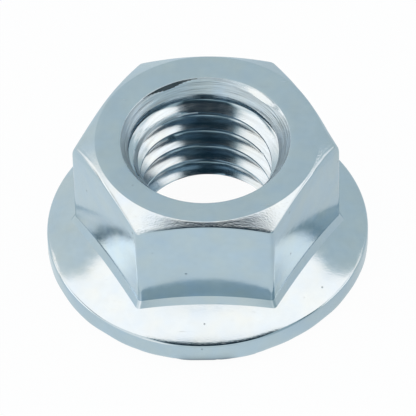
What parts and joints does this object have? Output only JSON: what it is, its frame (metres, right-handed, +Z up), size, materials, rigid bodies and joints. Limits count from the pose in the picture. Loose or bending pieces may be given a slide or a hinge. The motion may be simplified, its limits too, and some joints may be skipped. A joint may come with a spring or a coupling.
{
  "type": "serrated flange nut",
  "caption": "Hexagon nut with an integral conical flange, serrated bearing face and right-hand internal thread.",
  "frame": {"origin": "on the thread axis, in the plane of the serration tips that the nut stands on", "axes": "+Z up the thread axis, from the serrated bearing face to the chamfered top; +X through a corner of the hexagon, so +Y is square to a flat"},
  "size_m": [0.021, 0.021, 0.01],
  "materials": {
    "zinc_plate": "bright blue-white zinc plating, satin"
  },
  "bodies": {
    "root": {"flange_nut": "zinc_plate"}
  },
  "joints": []
}
